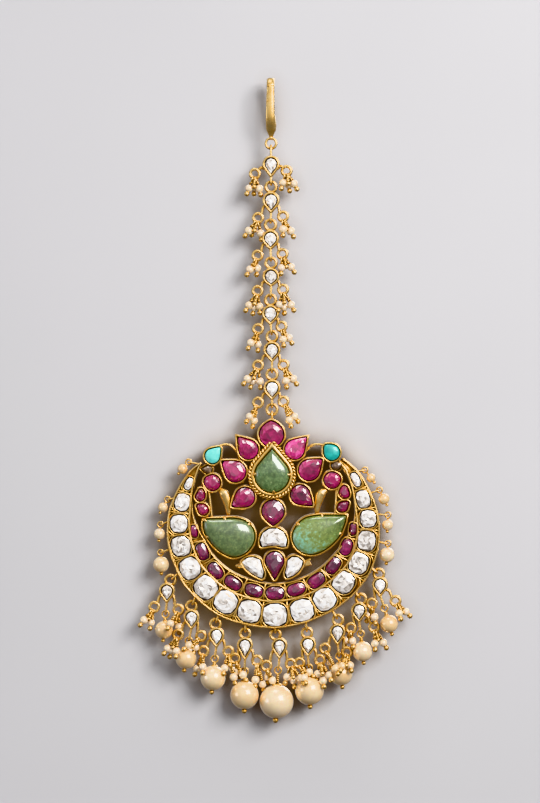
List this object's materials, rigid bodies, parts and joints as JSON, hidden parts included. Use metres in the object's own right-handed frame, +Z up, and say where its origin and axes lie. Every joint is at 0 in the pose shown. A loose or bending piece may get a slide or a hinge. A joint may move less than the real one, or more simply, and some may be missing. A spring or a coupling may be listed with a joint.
{
  "type": "maang tikka",
  "caption": "Hanging hair ornament: hook, stone-set link chain and a pierced crescent pendant with peacocks, a flower and pearl drops.",
  "frame": {"origin": "inner top of the hook, where the piece hangs", "axes": "+Z up along the chain, -Y out of the set front of the pendant, +X to the right as seen from the front"},
  "size_m": [0.0535, 0.0073, 0.1298],
  "materials": {
    "gold": "antique gold, softly polished, brown in the recesses",
    "pearl": "cream pearl lustre",
    "green_stone": "mossy green cabochon, polished",
    "ruby": "deep pink stone, uneven polish",
    "turquoise": "waxy blue-green stone",
    "uncut_diamond": "flat uncut diamond over foil"
  },
  "bodies": {
    "root": {"hook": "gold", "chain_link_1": "gold", "chain_link_2": "gold", "chain_link_3": "gold", "chain_link_4": "gold", "chain_link_5": "gold", "chain_link_6": "gold", "chain_link_7": "gold", "pendant_ring": "gold"},
    "pendant": {"pendant_frame": "gold", "flower_stone": "green_stone", "body_stone_left": "green_stone", "body_stone_right": "green_stone", "petal_stone_top": "ruby", "petal_stone_upper_left": "ruby", "petal_stone_upper_right": "ruby", "petal_stone_left": "ruby", "petal_stone_right": "ruby", "petal_stone_lower_left": "ruby", "petal_stone_lower_right": "ruby", "petal_stone_bottom": "ruby", "neck_stone_left_1": "ruby", "neck_stone_left_2": "ruby", "neck_stone_left_3": "ruby", "neck_stone_right_1": "ruby", "neck_stone_right_2": "ruby", "neck_stone_right_3": "ruby", "lotus_stone_middle": "ruby", "turquoise_left": "turquoise", "turquoise_right": "turquoise", "lotus_stone_moon": "uncut_diamond", "lotus_stone_left": "uncut_diamond", "lotus_stone_right": "uncut_diamond", "side_pearl_left_1": "pearl", "side_pearl_left_2": "pearl", "side_pearl_left_3": "pearl", "side_pearl_left_4": "pearl", "side_pearl_right_1": "pearl", "side_pearl_right_2": "pearl", "side_pearl_right_3": "pearl", "side_pearl_right_4": "pearl", "drop_link_1": "gold", "drop_link_2": "gold", "drop_link_3": "gold", "drop_link_4": "gold", "drop_link_5": "gold", "drop_link_6": "gold", "drop_link_7": "gold", "drop_link_8": "gold", "drop_link_9": "gold", "drop_pearl_1": "pearl", "drop_pearl_2": "pearl", "drop_pearl_3": "pearl", "drop_pearl_4": "pearl", "drop_pearl_5": "pearl", "drop_pearl_6": "pearl", "drop_pearl_7": "pearl", "drop_pearl_8": "pearl", "drop_pearl_9": "pearl"}
  },
  "joints": [
    {"name": "pendant_swing", "type": "hinge", "parent": "root", "child": "pendant", "pos_m": [0, 0, -0.06694], "axis": [1, 0, 0], "range_deg": [-75, 75]}
  ]
}
